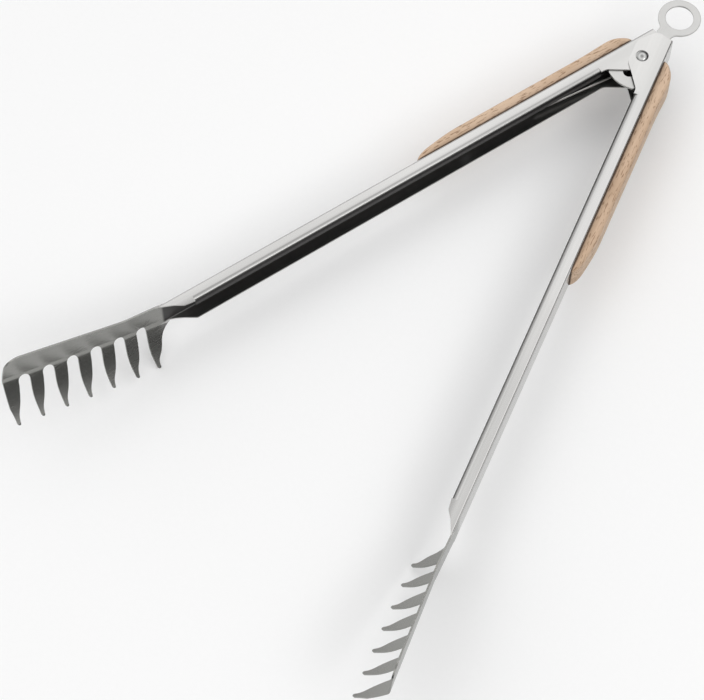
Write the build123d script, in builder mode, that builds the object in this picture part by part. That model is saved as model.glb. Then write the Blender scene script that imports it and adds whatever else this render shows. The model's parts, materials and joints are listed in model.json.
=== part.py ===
from build123d import *
from math import asin, atan2, cos, degrees, pi, radians, sin, sqrt
import os

os.makedirs("parts", exist_ok=True)

# Long spring tongs: two folded steel arms with raked seven-tooth combs, joined by a rivet.
# Millimetres. The origin is the middle of the hanging hole, +Y points away from the jaws and
# +Z along the rivet. The tongs are modelled open, with the ring pushed in.
# Arm axes: X from the rivet to the jaws, Y outwards from the middle line, Z along the rivet.

# Driving dimensions
half_opening = 16.9             # each arm from the middle line
pivot_y = -35.7                 # hanging hole to rivet
sheet = 1.0                     # steel of the arms
channel_width = 20.0            # outside the flanges
web_reach = 12.74               # rivet axis to the outside of the web
flange_edge = 4.4               # rivet axis to the free edge of the flanges
fold_depth = -8.0               # rivet axis to the edge of the unfolded ears, before trimming
trim = 6.0                      # waste at the rivet's end of the folded strip
ear_gap = 0.2                   # running gap between overlapping ears

corner_bend = 1.6               # outside radius between web and flange
lip_bend = 3.2                  # outside radius of the rolled lip
lip_drop = 5.4                  # depth of the lip below the flange
lip_start, lip_end = 25.0, 294.0
ear_tail = -16.5                # end of the web beyond the rivet
channel_end = 313.0             # where the comb plate begins

comb_tilt = radians(14.0)       # comb line above the line of the arm
comb_splay = radians(3.5)       # comb plate outwards of the web
gullet_drop = 5.36              # channel's middle to the gullet line, at the channel's end
tooth_count = 7
tooth_pitch = 14.45
first_tip = 5.05                # channel's end to the first tooth's tip, along the comb
plate_rise, gullet_lead = 27.0, 0.5
tooth_bend = 6.0                # middle radius where a tooth leaves the plate
tooth_bend_angle = 36.0
tooth_sweep_radius = 105.0      # the rest of a tooth is nearly straight
tooth_sweep_angle = 16.0
tooth_depth, depth_growth = 26.9, 0.33
first_crowding = 1.5            # the first teeth stand closer together
gullet_depth, gullet_growth = 0.4, 0.37
gullet_side = 3.4               # gullet's top to where the teeth's sides start
comb_before, comb_after = 10.5, 6.0

grip_start, grip_end = -3.0, 144.0
grip_thickness = 6.9
grip_width = 18.0
grip_run = 32.0                 # length of the run-out at each end
grip_round = 2.2                # long outside edges
screw_stations = (22.0, 112.0)
screw_radius, screw_play = 1.6, 0.1
screw_head_radius, screw_head_height = 3.2, 1.4
screw_reach = 5.0

plate_thickness = 1.4           # ring and lock plate
plate_gap = 0.25
ring_outer, ring_inner = 12.3, 8.0
neck_half = 4.7
fan_radius, fan_half = 21.2, 9.1
neck_fillet, fan_fillet, rim_round = 4.0, 1.5, 0.35
slot_end = 11.9                 # rivet to the centre of the slot's inner end
slot_half, slot_play = 3.4, 0.3

rivet_radius, rivet_play = 2.5, 0.06
rivet_head, head_height = 3.7, 1.8
sleeve_radius = 3.1
head_gap = 0.1

wire = 1.8
coil_radius, coil_pitch = 4.4, 2.0
coil_bottom = -6.0
whole_turns = 5
leg_reach, leg_blend = 66.0, 6.0
leg_clearance = 0.05

# Levels along the rivet, from the middle of the two arms
half_width = channel_width / 2
arm_shift = (sheet + ear_gap) / 2
plate_top = half_width - arm_shift - sheet - plate_gap
pivot_z = -(plate_top - plate_thickness / 2)
pivot_plane = Plane(origin=(0, pivot_y, pivot_z))

swing = radians(half_opening)
right_axes = Plane(
    origin=(0, pivot_y, pivot_z + arm_shift), x_dir=(sin(swing), -cos(swing), 0), z_dir=(0, 0, 1)
)
left_axes = Plane(
    origin=(0, pivot_y, pivot_z - arm_shift), x_dir=(-sin(swing), -cos(swing), 0), z_dir=(0, 0, 1)
)


def finish(piece, name):
    """Label a finished piece and write it."""
    piece.part.label = name
    export_step(piece.part, f"parts/{name}.step")


def place_on_arms(piece, name):
    """Write a piece made in arm axes for the right arm, and its mirror image for the left arm."""
    with BuildPart() as right:
        with Locations(right_axes):
            add(piece.part)
    finish(right, f"right_{name}")
    mirrored = mirror(piece.part, about=Plane.XZ, mode=Mode.PRIVATE)
    with BuildPart() as left:
        with Locations(left_axes):
            add(mirrored)
    finish(left, f"left_{name}")


# Channel: envelope of the flanges and ears, one half for each flange
ear_points = [(ear_tail, web_reach + 1), (ear_tail, 11.2), (-18.8, 2.6), (-9.0, -6.2),
              (6.2, -6.2), (21.6, flange_edge)]
ear_radii = [0, 1.5, 5.0, 7.0, 7.0, 6.0]
near_end = [(lip_end + 0.6, flange_edge), (300.5, flange_edge + 0.8), (305.0, 8.2),
            (channel_end, web_reach - sheet), (channel_end, web_reach + 1)]
far_end = [(lip_end, flange_edge - 0.6), (300.0, 7.6), (304.5, 10.0),
           (channel_end - 4, web_reach - sheet), (channel_end - 4, web_reach + 1)]

with BuildPart() as envelope:
    for flange_tip, height in ((near_end, half_width + 1), (far_end, -half_width - 1)):
        with BuildSketch():
            with BuildLine():
                outline = ear_points + flange_tip
                FilletPolyline(*outline, radius=ear_radii + [1.5, 4.0, 4.0, 0, 0], close=True)
            make_face()
        extrude(amount=height)

# Channel: folded section along the arm, cut to the envelope, with the lip rolled in
flat_edge = flange_edge + lip_bend
with BuildPart() as channel:
    with BuildSketch(Plane.YZ.offset(ear_tail - trim)):
        with BuildLine():
            FilletPolyline(
                (fold_depth, half_width),
                (web_reach, half_width),
                (web_reach, -half_width),
                (fold_depth, -half_width),
                radius=corner_bend,
            )
            offset(amount=sheet, side=Side.RIGHT)
        make_face()
    extrude(amount=channel_end - ear_tail + trim)
    add(envelope.part, mode=Mode.INTERSECT)
    with BuildSketch(Plane.XY.offset(half_width - 2 * sheet)):
        with Locations((lip_start, flat_edge)):
            Rectangle(lip_end - lip_start, 2 * lip_bend, align=(Align.MIN, Align.MAX))
    extrude(amount=4 * sheet, mode=Mode.SUBTRACT)
    with BuildSketch(Plane.YZ.offset(lip_start)):
        with BuildLine():
            Line((flat_edge, half_width), (flat_edge, half_width - sheet))
            CenterArc((flat_edge, half_width - lip_bend), lip_bend - sheet, 90, 90)
            Polyline(
                (flange_edge + sheet, half_width - lip_bend),
                (flange_edge + sheet, half_width - lip_drop),
                (flange_edge, half_width - lip_drop),
                (flange_edge, half_width - lip_bend),
            )
            CenterArc((flat_edge, half_width - lip_bend), lip_bend, 90, 90)
        make_face()
    extrude(amount=lip_end - lip_start)

# Comb: a flat plate whose lower edge is folded inwards into teeth. It is made in line with the
# web. X of the comb plane runs inwards, Y down the teeth and Z along the comb line.
comb_along = Vector(cos(comb_tilt), 0, sin(comb_tilt))
comb_down = Vector(sin(comb_tilt), 0, -cos(comb_tilt))
comb_inwards = Vector(0, -1, 0)
comb_origin = Vector(channel_end, web_reach - sheet / 2, -gullet_drop)
comb_plane = Plane(origin=comb_origin, x_dir=comb_inwards, z_dir=comb_along)

with BuildSketch() as comb_section:
    with BuildLine():
        plate = Line((0, -plate_rise), (0, gullet_lead))
        fold = JernArc(plate @ 1, plate % 1, tooth_bend, -tooth_bend_angle)
        JernArc(fold @ 1, fold % 1, tooth_sweep_radius, -tooth_sweep_angle)
        offset(amount=sheet / 2)
    make_face()

# Teeth: the gaps are cut square to the teeth's chord. In that plane X runs along the comb and
# Y down the teeth.
chord_plane = Plane(origin=comb_origin, x_dir=comb_along, z_dir=comb_down - comb_inwards)
past_tips = 60.0
hollow = [(-12, 0.8), (-9.8, 1.6), (-4.8, 4.2), (-1.0, 8.0), (0.7, 11.5), (2.8, 18.0), (5.7, 25.2)]


def tip_of(i):
    """Highest point of tooth i's tip, counted from the rivet's end of the comb."""
    crowding = first_crowding / 2**i
    return (first_tip + crowding + tooth_pitch * i, tooth_depth + depth_growth * i)


def jaw_side(i, start, lean=0.0):
    """Edge of tooth i away from the rivet, from its root down to its tip."""
    x, depth = tip_of(i)
    middle = [(x + 2.6 + lean, 12), (x + 2.3 + lean / 2, 19), (x + 1.3, depth - 2.2)]
    with BuildLine() as edge:
        Spline(start, *middle, (x, depth), tangents=[(0, 1), (-1, 0)])
    return edge.line


def rivet_side(i, start):
    """Edge of tooth i towards the rivet, from its root down to its tip."""
    x, depth = tip_of(i)
    middle = [(x - 4.6, 11), (x - 3.1, 18), (x - 0.8, depth - 1.6)]
    with BuildLine() as edge:
        Spline(start, *middle, (x, depth), tangents=[(0, 1), (1, 0)])
    return edge.line


def gap_after(i):
    """Gap between tooth i and the next, closed beyond the tips."""
    top = gullet_depth + gullet_growth * i
    lower = (tip_of(i)[0] + 2.3, top + gullet_side)
    upper = (tip_of(i + 1)[0] - 5.1, top + gullet_side)
    with BuildLine() as gap:
        ThreePointArc(upper, ((lower[0] + upper[0]) / 2, top), lower)
        add(jaw_side(i, lower))
        Polyline(tip_of(i), (tip_of(i)[0], past_tips), (tip_of(i + 1)[0], past_tips), tip_of(i + 1))
        add(rivet_side(i + 1, upper))
    return gap.line


with BuildPart() as straight_comb:
    with BuildSketch(comb_plane.offset(-comb_before)):
        add(comb_section.sketch)
    extrude(amount=comb_before + first_tip + tooth_pitch * (tooth_count - 1) + comb_after)
    for i in range(tooth_count - 1):
        with BuildSketch(chord_plane):
            with BuildLine():
                add(gap_after(i))
            make_face()
    # rivet's end: a hollow runs out of the channel's far corner into the first tooth
    with BuildSketch(chord_plane):
        with BuildLine():
            Spline(*hollow, tip_of(0), tangents=[(1, 0.3), (1, 0)])
            Polyline(tip_of(0), (tip_of(0)[0], past_tips), (hollow[0][0], past_tips), hollow[0])
        make_face()
    # jaw's end: the outside edge of the last tooth
    with BuildSketch(chord_plane):
        with BuildLine():
            last = tooth_count - 1
            shoulder = (tip_of(last)[0] + 3.8, 0)
            outside = tip_of(last)[0] + 20
            add(jaw_side(last, shoulder, lean=1.2))
            Polyline(tip_of(last), (tip_of(last)[0], past_tips), (outside, past_tips), (outside, 0),
                     shoulder)
        make_face()
    extrude(amount=past_tips, both=True, mode=Mode.SUBTRACT)

# Splay: from the middle of the second gap on, the comb is bent outwards about a line down the
# teeth, and the two lengths meet on the plane that halves the bend
splay_point = comb_origin + comb_along * (first_tip + 1.5 * tooth_pitch - 2.2)
splay_line = Axis(splay_point, -comb_down)
mitre = Plane(origin=splay_point, x_dir=comb_down,
              z_dir=comb_along * cos(comb_splay / 2) - comb_inwards * sin(comb_splay / 2))
with BuildPart() as comb_root:
    add(straight_comb.part)
    split(bisect_by=mitre, keep=Keep.BOTTOM)
with BuildPart() as comb:
    add(straight_comb.part.rotate(splay_line, degrees(comb_splay)))
    split(bisect_by=mitre, keep=Keep.TOP)
    add(comb_root.part)

# Near edge and outer corner of the comb plate, seen from outside the arm
comb_outline = [(300, -60), (300, 8.4), (308, 8.4), (314, 10.4), (336, 14.9), (401.9, 34.0),
                (423.7, -60)]
comb_radii = [0, 0, 8, 8, 40, 8.5, 0]
with BuildPart() as comb_edge:
    with BuildSketch(Plane.XZ):
        with BuildLine():
            FilletPolyline(*comb_outline, radius=comb_radii, close=True)
        make_face()
    extrude(amount=past_tips, both=True)

# Arm: channel and comb in one sheet, with holes for the rivet and the grip screws
with BuildPart() as arm:
    add(comb.part)
    add(comb_edge.part, mode=Mode.INTERSECT)
    add(channel.part)
    Cylinder(rivet_radius + rivet_play, 4 * half_width, mode=Mode.SUBTRACT)
    with BuildSketch(Plane.XZ.offset(-web_reach - 1)):
        for station in screw_stations:
            with Locations((station, 0)):
                Circle(screw_radius + screw_play)
    extrude(amount=sheet + 2, mode=Mode.SUBTRACT)
place_on_arms(arm, "arm")

# Wooden grip on the outside of the web, rounded outside and run out at both ends
grip_top = web_reach + grip_thickness
with BuildPart() as grip:
    with BuildSketch():
        with BuildLine():
            Line((grip_end, web_reach), (grip_start, web_reach))
            Spline((grip_start, web_reach), (grip_start + 2.8, grip_top - 2.8), (grip_run, grip_top),
                   tangents=[(0.1, 1), (1, 0)])
            Line((grip_run, grip_top), (grip_end - grip_run, grip_top))
            Spline((grip_end - grip_run, grip_top), (grip_end - 12, grip_top - 1.7),
                   (grip_end, web_reach + 0.8), tangents=[(1, 0), (0.8, -0.9)])
            Line((grip_end, web_reach + 0.8), (grip_end, web_reach))
        make_face()
    extrude(amount=grip_width / 2, both=True)
    sides = grip.faces().filter_by(Axis.Z).edges()
    fillet(sides.filter_by(lambda e: e.center().Y > web_reach + 1), radius=grip_round)
    with BuildSketch(Plane.XZ.offset(-web_reach)):
        for station in screw_stations:
            with Locations((station, 0)):
                Circle(screw_radius)
    extrude(amount=-screw_reach, mode=Mode.SUBTRACT)
place_on_arms(grip, "grip")

# Grip screws: pan heads inside the channel, shanks in the wood
for number, station in enumerate(screw_stations, start=1):
    with BuildPart() as grip_screw:
        with BuildSketch(Plane.XZ.offset(-web_reach + sheet)):
            with Locations((station, 0)):
                Circle(screw_head_radius)
        extrude(amount=screw_head_height)
        fillet(grip_screw.edges().sort_by(Axis.Y)[0], radius=screw_head_height * 0.6)
        with BuildSketch(Plane.XZ.offset(-web_reach + sheet)):
            with Locations((station, 0)):
                Circle(screw_radius)
        extrude(amount=-sheet - screw_reach)
    place_on_arms(grip_screw, f"grip_screw_{number}")

# Lock ring: ring, neck and slotted fan in one flat plate
ring_plane = Plane.XY.offset(-plate_thickness / 2)
with BuildPart() as lock_ring:
    with BuildSketch(ring_plane):
        Circle(ring_outer)
        with Locations((0, pivot_y / 2)):
            Rectangle(2 * neck_half, -pivot_y)
        with BuildLine():
            fan_side = pivot_y - sqrt(fan_radius**2 - fan_half**2)
            ThreePointArc((-fan_half, fan_side), (0, pivot_y - fan_radius), (fan_half, fan_side))
            Polyline((fan_half, fan_side), (fan_half, pivot_y - 2), (neck_half, pivot_y + 8),
                     (-neck_half, pivot_y + 8), (-fan_half, pivot_y - 2), (-fan_half, fan_side))
        make_face()
        inner_corners = vertices().filter_by(lambda v: -ring_outer < v.Y < 0 and abs(v.X) < ring_outer)
        fillet(inner_corners, radius=neck_fillet)
        fan_corners = vertices().filter_by(lambda v: v.Y < pivot_y)
        fillet(fan_corners, radius=fan_fillet)
        Circle(ring_inner, mode=Mode.SUBTRACT)
        with Locations((0, pivot_y - (slot_end - slot_play) / 2)):
            SlotCenterToCenter(slot_end + slot_play, 2 * slot_half, rotation=90, mode=Mode.SUBTRACT)
    extrude(amount=plate_thickness)
    rims = lock_ring.faces().filter_by(Axis.Z).edges()
    fillet(rims.filter_by(GeomType.CIRCLE).filter_by(lambda e: e.center().Y > -1), radius=rim_round)
finish(lock_ring, "lock_ring")

# Rivet: shank through both pairs of ears, with a domed head at each end
stack = half_width + arm_shift + head_gap
with BuildPart() as pivot_rivet:
    with BuildSketch(Plane(origin=pivot_plane.origin, x_dir=(1, 0, 0), z_dir=(0, -1, 0))):
        with BuildLine():
            for end in (-1, 1):
                Polyline((rivet_radius, 0), (rivet_radius, end * stack), (rivet_head, end * stack))
                TangentArc((0, end * (stack + head_height)), (rivet_head, end * stack), tangent=(1, 0))
            Line((0, stack + head_height), (0, -stack - head_height))
        make_face()
    revolve(axis=Axis(pivot_plane.origin, (0, 0, 1)))
finish(pivot_rivet, "pivot_rivet")

# Sleeve between the inner ears, round the rivet
sleeve_half = half_width - arm_shift - sheet - head_gap
with BuildPart() as pivot_spacer:
    with BuildSketch(pivot_plane.offset(-sleeve_half)):
        Circle(sleeve_radius)
        Circle(rivet_radius + rivet_play, mode=Mode.SUBTRACT)
    extrude(amount=2 * sleeve_half)
finish(pivot_spacer, "pivot_spacer")

# Torsion spring: coil round the sleeve, with a leg against the inside of each web.
# Its own axes have X towards the point where the left leg leaves the coil.
leg_offset = web_reach - sheet - wire / 2 - leg_clearance
leg_span = sqrt(leg_reach**2 + leg_offset**2)
leg_angle = atan2(leg_offset, leg_reach) - asin(coil_radius / leg_span)
leg_length = leg_span * cos(asin(coil_radius / leg_span))
leave_angle = pi - swing - leg_angle
coil_turns = whole_turns + (2 * leave_angle - pi) / (2 * pi)
with BuildPart() as spring_wire:
    with BuildLine() as route:
        coil = Helix(coil_pitch, coil_pitch * coil_turns, coil_radius, lefthand=True)
        first = coil @ 0 + Vector(0, leg_blend, 0)
        Line(coil @ 0 + Vector(0, leg_length, 0), first)
        Spline(first, coil @ 0, tangents=[(0, -1, 0), coil % 0])
        leave = Vector((coil % 1).X, (coil % 1).Y, 0).normalized()
        second = coil @ 1 + leave * leg_blend
        Spline(coil @ 1, second, tangents=[coil % 1, leave])
        Line(second, coil @ 1 + leave * leg_length)
    with BuildSketch(Plane(origin=coil @ 0 + Vector(0, leg_length, 0), z_dir=(0, -1, 0))):
        Circle(wire / 2)
    sweep(path=route.wire(), is_frenet=True)
with BuildPart() as torsion_spring:
    spring_axes = Plane(
        origin=pivot_plane.origin + Vector(0, 0, coil_bottom),
        x_dir=(cos(leave_angle), sin(leave_angle), 0),
        z_dir=(0, 0, 1),
    )
    with Locations(spring_axes):
        add(spring_wire.part)
finish(torsion_spring, "torsion_spring")
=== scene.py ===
import json
import math

import bpy
from mathutils import Matrix, Vector


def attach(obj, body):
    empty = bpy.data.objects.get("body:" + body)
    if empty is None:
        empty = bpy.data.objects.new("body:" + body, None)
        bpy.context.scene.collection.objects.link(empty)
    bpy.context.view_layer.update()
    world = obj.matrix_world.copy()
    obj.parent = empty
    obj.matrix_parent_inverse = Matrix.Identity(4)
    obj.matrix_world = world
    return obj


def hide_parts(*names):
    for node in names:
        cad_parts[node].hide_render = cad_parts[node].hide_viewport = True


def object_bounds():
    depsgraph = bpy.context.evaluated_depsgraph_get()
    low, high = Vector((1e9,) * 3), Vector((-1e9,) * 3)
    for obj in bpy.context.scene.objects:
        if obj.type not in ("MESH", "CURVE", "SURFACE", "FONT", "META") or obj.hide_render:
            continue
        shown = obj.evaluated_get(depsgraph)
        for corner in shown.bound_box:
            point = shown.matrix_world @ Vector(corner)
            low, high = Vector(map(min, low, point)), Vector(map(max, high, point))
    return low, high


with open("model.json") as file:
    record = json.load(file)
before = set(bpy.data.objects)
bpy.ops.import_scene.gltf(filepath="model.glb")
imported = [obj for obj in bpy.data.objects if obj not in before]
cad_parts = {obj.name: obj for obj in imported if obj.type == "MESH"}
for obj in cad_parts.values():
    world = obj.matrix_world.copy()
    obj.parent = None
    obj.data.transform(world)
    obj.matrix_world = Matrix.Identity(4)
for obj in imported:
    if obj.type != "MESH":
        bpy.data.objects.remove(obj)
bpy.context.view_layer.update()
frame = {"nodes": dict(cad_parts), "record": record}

# Long spring tongs with pressed steel arms, raked combs, wooden grips and a lock ring.
# Metres, in the frame's axes: +Y away from the jaws, +Z along the rivet.

MM = 0.001
swings = {joint["name"]: joint for joint in frame["record"]["behaviour"]["joints"]}
pivot = Vector(swings["left_arm_swing"]["pos_m"])
half_opening = math.radians(16.9)
arm_shift = 0.6 * MM
web_reach = 12.74 * MM
sheet = 1.0 * MM
half_width = 10 * MM
flange_edge = 4.4 * MM
lip_start, lip_run_in = 22 * MM, 8 * MM
# Strength of the painted shade on the flanges' rolled lips.
lip_shade = 0.4
channel_end = 313 * MM
SIDES = {"left": -1, "right": 1}
edge_ease = 0.12 * MM
weld = 0.002 * MM

# Spring: coil, and the straight legs from the coil's sides to the webs
wire = 1.8 * MM
wire_sides = 20
coil_radius, coil_pitch, coil_bottom = 4.4 * MM, 2.0 * MM, -6.0 * MM
coil_steps = 260
leg_reach, leg_offset = 66.0 * MM, 10.79 * MM
leg_overlap = 1.3 * MM
leg_span = math.hypot(leg_reach, leg_offset)
leg_length = math.sqrt(leg_span**2 - coil_radius**2)
leave_angle = (math.pi - half_opening - math.atan2(leg_offset, leg_reach)
               + math.asin(coil_radius / leg_span))
coil_turns = 5 + (2 * leave_angle - math.pi) / (2 * math.pi)

# Studio
look_at = pivot + Vector((-0.0087, -0.2444, 0))
view_azimuth, view_elevation = 40.32, 64.03
view_distance = 1.3583
lens, sensor = 128.58, 36
floor_size, floor_gap = 12, 0.5 * MM
sky_ramp = [(0.0, 0.05), (0.30, 0.08), (0.55, 0.95), (0.78, 1.5), (0.88, 1.35), (0.95, 0.8),
            (1.0, 0.65)]
left_sky = -0.62    # keeps the sky bright down to the horizon on the left


def arm_turn(side):
    """Turn about the rivet's axis that lays the named arm along X."""
    return math.radians(90) - SIDES[side] * half_opening


def direction(azimuth, elevation):
    """Unit vector from the tongs, with azimuth 0 towards the jaws."""
    a, e = math.radians(azimuth), math.radians(elevation)
    return Vector((math.sin(a) * math.cos(e), -math.cos(a) * math.cos(e), math.sin(e)))


# ---------------------------------------------------------------- shader maths

class Value:
    """A socket that can be used in arithmetic; each operation adds its Math node."""

    def __init__(self, material, socket):
        self.material = material
        self.socket = socket

    def maths(self, operation, *inputs):
        return self.material.node("ShaderNodeMath", {"operation": operation},
                                  dict(enumerate(inputs)))

    def size(self):
        """The value without its sign."""
        return self.maths("ABSOLUTE", self)

    def __add__(self, other):
        return self.maths("ADD", self, other)

    def __radd__(self, other):
        return self.maths("ADD", other, self)

    def __sub__(self, other):
        return self.maths("SUBTRACT", self, other)

    def __rsub__(self, other):
        return self.maths("SUBTRACT", other, self)

    def __mul__(self, other):
        return self.maths("MULTIPLY", self, other)

    def __rmul__(self, other):
        return self.maths("MULTIPLY", other, self)


class Finish:
    """A material on one Principled shader, with a method that adds any other node."""

    def __init__(self, name, **constants):
        self.material = bpy.data.materials.new(name)
        self.material.use_nodes = True
        self.tree = self.material.node_tree
        self.shader = self.tree.nodes["Principled BSDF"]
        for socket, value in constants.items():
            self.shader.inputs[socket.replace("_", " ")].default_value = value

    def node(self, kind, settings=None, inputs=None, output=0):
        made = self.tree.nodes.new(kind)
        for key, value in (settings or {}).items():
            if key == "stops":
                self.set_stops(made.color_ramp, value)
            else:
                setattr(made, key, value)
        for key, value in (inputs or {}).items():
            self.feed(made.inputs[key], value)
        return Value(self, made.outputs[output])

    def feed(self, socket, value):
        if isinstance(value, Value):
            self.tree.links.new(value.socket, socket)
        else:
            socket.default_value = value

    def set_stops(self, ramp, stops):
        while len(ramp.elements) < len(stops):
            ramp.elements.new(0.5)
        for element, (place, colour) in zip(ramp.elements, stops):
            element.position = place
            element.color = (*colour, 1)

    def place(self, side=None, scale=(1, 1, 1)):
        """Object coordinates, turned so that X runs along the named arm if there is one."""
        coords = self.node("ShaderNodeTexCoord", output="Object")
        turn = arm_turn(side) if side else 0
        turned = self.node("ShaderNodeMapping", {"vector_type": "POINT"},
                           {"Vector": coords, "Rotation": (0, 0, turn)})
        return self.node("ShaderNodeMapping", {"vector_type": "POINT"},
                         {"Vector": turned, "Scale": scale})

    def along_arm(self, side):
        """Distances from the rivet to the jaws, outwards, and from the arm's middle plane."""
        turn = arm_turn(side)
        rivet = pivot + Vector((0, 0, SIDES[side] * arm_shift))
        coords = self.node("ShaderNodeTexCoord", output="Object")
        where = self.node("ShaderNodeMapping", {"vector_type": "POINT"},
                          {"Vector": coords, "Rotation": (0, 0, turn),
                           "Location": tuple(-(Matrix.Rotation(turn, 3, "Z") @ rivet))})
        split = [self.node("ShaderNodeSeparateXYZ", None, {"Vector": where}, output=axis)
                 for axis in range(3)]
        return split[0], split[1] * SIDES[side], split[2].size()

    def noise(self, where, scale, detail=3.0, roughness=0.5):
        return self.node("ShaderNodeTexNoise", None,
                         {"Vector": where, "Scale": scale, "Detail": detail, "Roughness": roughness})

    def ramp(self, factor, *stops):
        return self.node("ShaderNodeValToRGB", {"stops": stops}, {"Fac": factor})

    def fade(self, value, low, high):
        """0 below low, 1 above high."""
        return self.node("ShaderNodeMapRange", {"interpolation_type": "SMOOTHSTEP"},
                         {"Value": value, "From Min": low, "From Max": high})

    def mix(self, factor, first, second):
        return self.node("ShaderNodeMix", {"data_type": "RGBA"},
                         {0: factor, 6: first, 7: second}, output=2)

    def bump(self, height, strength, distance):
        return self.node("ShaderNodeBump", None,
                         {"Height": height, "Strength": strength, "Distance": distance})

    def connect(self, **sockets):
        for socket, value in sockets.items():
            self.feed(self.shader.inputs[socket.replace("_", " ")], value)
        return self.material


# ---------------------------------------------------------------- materials

def arm_steel(side):
    """Rolled stainless: polished outside, rougher in the channel; painted shade darkens the
    channel's inside, the comb and the rolled lips.
    """
    steel = Finish(f"{side}_arm_steel", Metallic=1.0)
    station, outwards, off_middle = steel.along_arm(side)
    grain = steel.noise(steel.place(side, (14, 900, 900)), 1.0, detail=4.0)
    smears = steel.noise(steel.place(side, (9, 60, 60)), 1.0, detail=2.0)
    # Painted shade: the inside of the channel is coloured near-black, and it is also made rougher.
    inside = ((1 - steel.fade(off_middle, 0.82 * half_width, 0.98 * half_width))
              * (1 - steel.fade(outwards, web_reach - 0.9 * sheet, web_reach - 0.5 * sheet))
              * (1 - steel.fade(station, channel_end - 3 * MM, channel_end - 1 * MM)))
    # Painted shade and reflection: the comb and the web just before it get a darker grey tone.
    on_flange = steel.fade(off_middle, 0.84 * half_width, 0.96 * half_width)
    past_end = steel.fade(station, channel_end - 2 * MM, channel_end + 3 * MM)
    at_root = steel.fade(station, channel_end - 12 * MM, channel_end - 6 * MM) * (1 - on_flange)
    comb = past_end + (1 - past_end) * at_root
    # Painted shade: the rolled lips along the flanges' free edges are darkened by lip_shade.
    lip = ((1 - steel.fade(outwards, flange_edge + 0.4 * MM, flange_edge + 4.6 * MM))
           * steel.fade(station, lip_start, lip_start + lip_run_in) * (1 - past_end) * lip_shade)
    tint = steel.mix(steel.fade(smears, 0.3, 0.75), (0.52, 0.515, 0.505, 1), (0.60, 0.593, 0.583, 1))
    tint = steel.mix(comb, tint, (0.27, 0.27, 0.255, 1))
    tint = steel.mix(lip, tint, (0.14, 0.14, 0.135, 1))
    tint = steel.mix(grain * 0.15, tint, (0.45, 0.45, 0.45, 1))
    tint = steel.mix(inside, tint, (0.055, 0.053, 0.052, 1))
    roughness = 0.15 + smears * 0.08 + grain * 0.06 + inside * 0.2 + comb * 0.04
    return steel.connect(Base_Color=tint, Roughness=roughness,
                         Normal=steel.bump(grain, 0.06, 0.0002))


def ring_steel():
    """Blanked and tumbled plate: even satin with a little mottle."""
    steel = Finish("ring_steel", Metallic=1.0)
    mottle = steel.noise(steel.place(), 900.0, detail=4.0)
    clouds = steel.noise(steel.place(), 120.0, detail=2.0)
    tint = steel.mix(clouds, (0.46, 0.457, 0.447, 1), (0.57, 0.567, 0.557, 1))
    return steel.connect(Base_Color=tint, Roughness=0.24 + clouds * 0.1,
                         Normal=steel.bump(mottle, 0.03, 0.0001))


def rivet_steel():
    """Bright domed rivet with light handling wear."""
    steel = Finish("rivet_steel", Metallic=1.0)
    wear = steel.noise(steel.place(), 420.0)
    tint = steel.mix(wear, (0.36, 0.36, 0.355, 1), (0.54, 0.54, 0.53, 1))
    return steel.connect(Base_Color=tint, Roughness=0.12 + wear * 0.1,
                         Normal=steel.bump(wear, 0.03, 0.0001))


def spring_wire():
    """Drawn wire, darker, with fine die lines."""
    steel = Finish("spring_wire", Metallic=1.0)
    lines = steel.noise(steel.place(), 1400.0, detail=4.0)
    tint = steel.mix(lines, (0.30, 0.30, 0.29, 1), (0.50, 0.49, 0.47, 1))
    return steel.connect(Base_Color=tint, Roughness=0.25 + lines * 0.2,
                         Normal=steel.bump(lines, 0.08, 0.0002))


def fastener():
    """Zinc-plated small parts."""
    zinc = Finish("fastener", Metallic=1.0)
    patches = zinc.noise(zinc.place(), 700.0, detail=4.0)
    tint = zinc.mix(patches, (0.42, 0.43, 0.44, 1), (0.60, 0.60, 0.61, 1))
    return zinc.connect(Base_Color=tint, Roughness=0.3 + patches * 0.2,
                        Normal=zinc.bump(patches, 0.06, 0.0002))


def grip_wood(side):
    """Pale close-grained hardwood: long soft figure, fine pores and short dark flecks."""
    wood = Finish(f"{side}_grip_wood", Specular_IOR_Level=0.35)
    figure = wood.noise(wood.place(side, (12, 160, 160)), 1.0, detail=5.0, roughness=0.6)
    clouds = wood.noise(wood.place(side, (25, 60, 60)), 1.0, detail=2.0)
    flecks = wood.noise(wood.place(side, (230, 1500, 1500)), 1.0, detail=1.0)
    pores = wood.noise(wood.place(side, (350, 2600, 2600)), 1.0, detail=2.0)
    tint = wood.ramp(figure, (0.25, (0.44, 0.295, 0.19)), (0.5, (0.58, 0.41, 0.28)),
                     (0.75, (0.69, 0.51, 0.37)))
    tint = wood.mix(wood.fade(clouds, 0.35, 0.8) * 0.4, tint, (0.70, 0.53, 0.385, 1))
    dark = wood.fade(flecks, 0.57, 0.68)
    tint = wood.mix(dark * 0.65, tint, (0.20, 0.10, 0.05, 1))
    tint = wood.mix(wood.fade(pores, 0.60, 0.8) * 0.25, tint, (0.30, 0.16, 0.08, 1))
    # Painted shade: the wood is darkened in a thin strip where it meets the steel web.
    outwards = wood.along_arm(side)[1]
    painted_seam_shade = 1 - wood.fade(outwards, web_reach + 0.2 * MM, web_reach + 1.1 * MM)
    tint = wood.mix(painted_seam_shade * 0.85, tint, (0.05, 0.028, 0.018, 1))
    height = figure * 0.4 - dark * 0.6 - pores * 0.3
    return wood.connect(Base_Color=tint, Roughness=0.52 + dark * 0.2 - figure * 0.1,
                        Normal=wood.bump(height, 0.25, 0.0004))


# ---------------------------------------------------------------- modelling helpers

def deselect():
    bpy.ops.object.select_all(action="DESELECT")


def activate(piece):
    deselect()
    piece.select_set(True)
    bpy.context.view_layer.objects.active = piece


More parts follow.
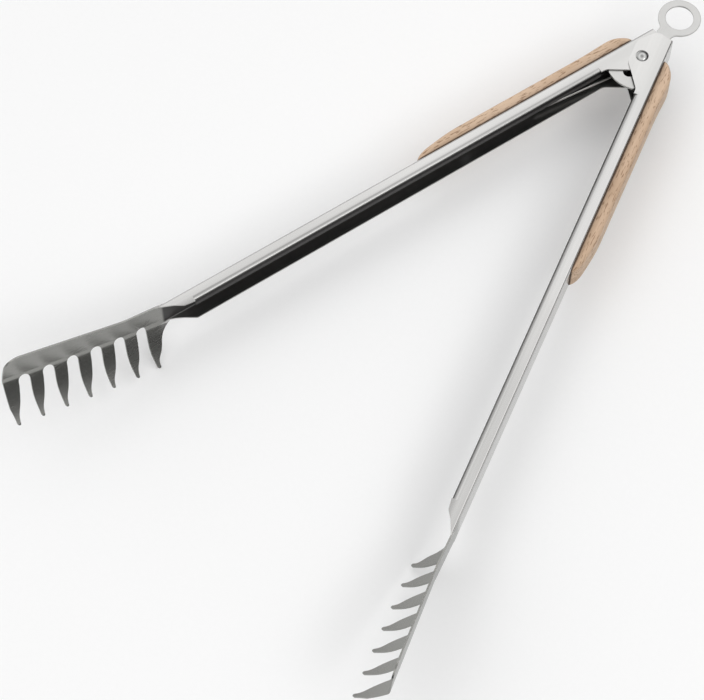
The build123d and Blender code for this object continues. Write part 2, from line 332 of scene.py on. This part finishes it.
def apply_modifiers(piece):
    activate(piece)
    for modifier in list(piece.modifiers):
        bpy.ops.object.modifier_apply(modifier=modifier.name)


def settle(piece):
    """Put the place into the mesh, so that the object stands at the origin."""
    piece.data.transform(piece.matrix_world)
    piece.matrix_world = Matrix.Identity(4)


def dress(piece, material, body, node):
    """Give a piece its finish and the body that it moves with, and hide the CAD node that it stands
    for.
    """
    piece.data.materials.clear()
    piece.data.materials.append(material)
    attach(piece, body)
    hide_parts(node)


def smooth_copy(node, name, angle=30.0, bevel=0.0, level_flats=True):
    """A CAD node's mesh with its doubles merged, its sharp edges eased and its bends smooth.

    Levelled flats stay flat beside a bend; a dome is left as it is.
    """
    piece = frame["nodes"][node].copy()
    piece.data = frame["nodes"][node].data.copy()
    piece.name = name
    piece.parent = None
    piece.matrix_world = Matrix.Identity(4)
    bpy.context.scene.collection.objects.link(piece)
    activate(piece)
    bpy.ops.object.mode_set(mode="EDIT")
    bpy.ops.mesh.select_all(action="SELECT")
    bpy.ops.mesh.remove_doubles(threshold=weld)
    bpy.ops.mesh.tris_convert_to_quads(face_threshold=0.05, shape_threshold=0.7)
    bpy.ops.object.mode_set(mode="OBJECT")
    if bevel:
        edge = piece.modifiers.new("edge", "BEVEL")
        edge.width = bevel
        edge.segments = 2
        edge.limit_method = "ANGLE"
        edge.angle_limit = math.radians(50)
        edge.use_clamp_overlap = True
        apply_modifiers(piece)
    bpy.ops.object.shade_smooth_by_angle(angle=math.radians(angle))
    if level_flats:
        flats = piece.modifiers.new("flats", "WEIGHTED_NORMAL")
        flats.keep_sharp = True
        flats.weight = 100
        apply_modifiers(piece)
    return piece


# ---------------------------------------------------------------- stage, lights and camera

def make_stage():
    """White paper under the tongs."""
    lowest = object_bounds()[0].z
    bpy.ops.mesh.primitive_plane_add(size=floor_size, location=(0, 0, lowest - floor_gap))
    floor = bpy.context.object
    floor.name = "floor"
    paper = Finish("paper", Roughness=0.9)
    tooth = paper.noise(paper.place(), 400.0)
    floor.data.materials.append(paper.connect(
        Base_Color=paper.mix(tooth, (0.92, 0.92, 0.92, 1), (0.94, 0.94, 0.94, 1))))


def add_light(name, azimuth, elevation, distance, size, power):
    away = direction(azimuth, elevation)
    data = bpy.data.lights.new(name, "AREA")
    data.shape = "RECTANGLE"
    data.size, data.size_y = size
    data.energy = power
    lamp = bpy.data.objects.new(name, data)
    lamp.location = look_at + away * distance
    lamp.rotation_euler = (-away).to_track_quat("-Z", "Y").to_euler()
    bpy.context.scene.collection.objects.link(lamp)


def make_camera():
    back = direction(view_azimuth, view_elevation)
    data = bpy.data.cameras.new("camera")
    data.lens = lens
    data.sensor_width = sensor
    camera = bpy.data.objects.new("camera", data)
    camera.location = look_at + back * view_distance
    camera.rotation_euler = (-back).to_track_quat("-Z", "Y").to_euler()
    bpy.context.scene.collection.objects.link(camera)
    bpy.context.scene.camera = camera


def make_lights():
    """Soft light from all round above, darker at the horizon, and one broad panel."""
    world = bpy.data.worlds.new("studio")
    bpy.context.scene.world = world
    world.use_nodes = True
    nodes, links = world.node_tree.nodes, world.node_tree.links
    coords = nodes.new("ShaderNodeTexCoord")
    split = nodes.new("ShaderNodeSeparateXYZ")
    ramp = nodes.new("ShaderNodeValToRGB")
    for height, _ in sky_ramp[1:-1]:
        ramp.color_ramp.elements.new(height)
    for element, (height, grey) in zip(ramp.color_ramp.elements, sky_ramp):
        element.position = height
        element.color = (grey, grey, grey, 1)
    links.new(coords.outputs["Generated"], split.inputs["Vector"])
    side = nodes.new("ShaderNodeMath")
    side.operation = "MULTIPLY"
    side.inputs[1].default_value = left_sky
    highest = nodes.new("ShaderNodeMath")
    highest.operation = "MAXIMUM"
    links.new(split.outputs["X"], side.inputs[0])
    links.new(side.outputs["Value"], highest.inputs[0])
    links.new(split.outputs["Z"], highest.inputs[1])
    links.new(highest.outputs["Value"], ramp.inputs["Fac"])
    links.new(ramp.outputs["Color"], nodes["Background"].inputs["Color"])
    nodes["Background"].inputs["Strength"].default_value = 1.0
    add_light("side_panel", 88, 42, 1.8, (0.9, 0.35), 2.2)
    bpy.context.scene.view_settings.view_transform = "Standard"


# ---------------------------------------------------------------- the tongs

def make_arm(side):
    piece = smooth_copy(f"{side}_arm", f"{side}_pressed_arm", bevel=edge_ease)
    dress(piece, arm_steel(side), f"{side}_arm", f"{side}_arm")


def make_grip(side):
    piece = smooth_copy(f"{side}_grip", f"{side}_wooden_grip", angle=60)
    dress(piece, grip_wood(side), f"{side}_arm", f"{side}_grip")


def make_wire(name, body):
    """Finish the new piece of the spring: round surface, material and body."""
    piece = bpy.context.object
    piece.name = name
    apply_modifiers(piece)
    bpy.ops.object.shade_smooth_by_angle(angle=math.radians(50))
    settle(piece)
    dress(piece, wire_finish, body, "torsion_spring")


def make_spring():
    """A coil on the rivet and a straight leg along the inside of each arm's web."""
    deselect()
    start = pivot + Vector((0, 0, coil_bottom))
    bpy.ops.mesh.primitive_circle_add(radius=wire / 2, vertices=wire_sides,
                                      location=(coil_radius, 0, 0),
                                      rotation=(math.radians(90), 0, 0), fill_type="NOTHING")
    coil = bpy.context.object
    bpy.ops.object.transform_apply(location=True, rotation=True)
    turns = coil.modifiers.new("turns", "SCREW")
    turns.angle = -2 * math.pi * coil_turns
    turns.screw_offset = coil_pitch * coil_turns
    turns.steps = turns.render_steps = coil_steps
    turns.use_merge_vertices = False
    apply_modifiers(coil)
    bpy.ops.object.mode_set(mode="EDIT")
    bpy.ops.mesh.select_all(action="SELECT")
    bpy.ops.mesh.remove_doubles(threshold=weld)
    bpy.ops.mesh.fill_holes(sides=0)
    bpy.ops.mesh.normals_make_consistent(inside=False)
    bpy.ops.object.mode_set(mode="OBJECT")
    coil.matrix_world = Matrix.Translation(start) @ Matrix.Rotation(leave_angle, 4, "Z")
    make_wire("spring_coil", "pivot")
    for side, height in (("left", 0.0), ("right", coil_pitch * coil_turns)):
        deselect()
        angle = leave_angle if side == "left" else math.pi - leave_angle
        away = Vector((SIDES[side] * math.sin(angle), -abs(math.cos(angle)), 0))
        leave = Vector((math.cos(angle), math.sin(angle), 0)) * coil_radius
        root = start + leave + Vector((0, 0, height))
        length = leg_length + leg_overlap
        middle = root + away * (length / 2 - leg_overlap)
        bpy.ops.mesh.primitive_cylinder_add(radius=wire / 2, depth=length,
                                            vertices=wire_sides, location=middle)
        leg = bpy.context.object
        leg.rotation_euler = away.to_track_quat("Z", "Y").to_euler()
        bpy.context.view_layer.update()
        ends = leg.modifiers.new("ends", "BEVEL")
        ends.width = wire / 5
        ends.segments = 3
        ends.limit_method = "ANGLE"
        make_wire(f"{side}_spring_leg", f"{side}_arm")


make_camera()
make_lights()
make_stage()
for side in SIDES:
    make_arm(side)
    make_grip(side)
wire_finish = spring_wire()
make_spring()
zinc = fastener()
finishes = {"lock_ring": (ring_steel(), "lock_ring", "ring_steel"),
            "pivot_rivet": (rivet_steel(), "pivot", "rivet_steel"),
            "pivot_spacer": (zinc, "pivot", "fastener")}
for side in SIDES:
    for number in (1, 2):
        finishes[f"{side}_grip_screw_{number}"] = (zinc, f"{side}_arm", "fastener")
for node, (material, body, slot) in finishes.items():
    piece = smooth_copy(node, f"smooth_{node}", angle=40, level_flats=node != "pivot_rivet")
    dress(piece, material, body, node)
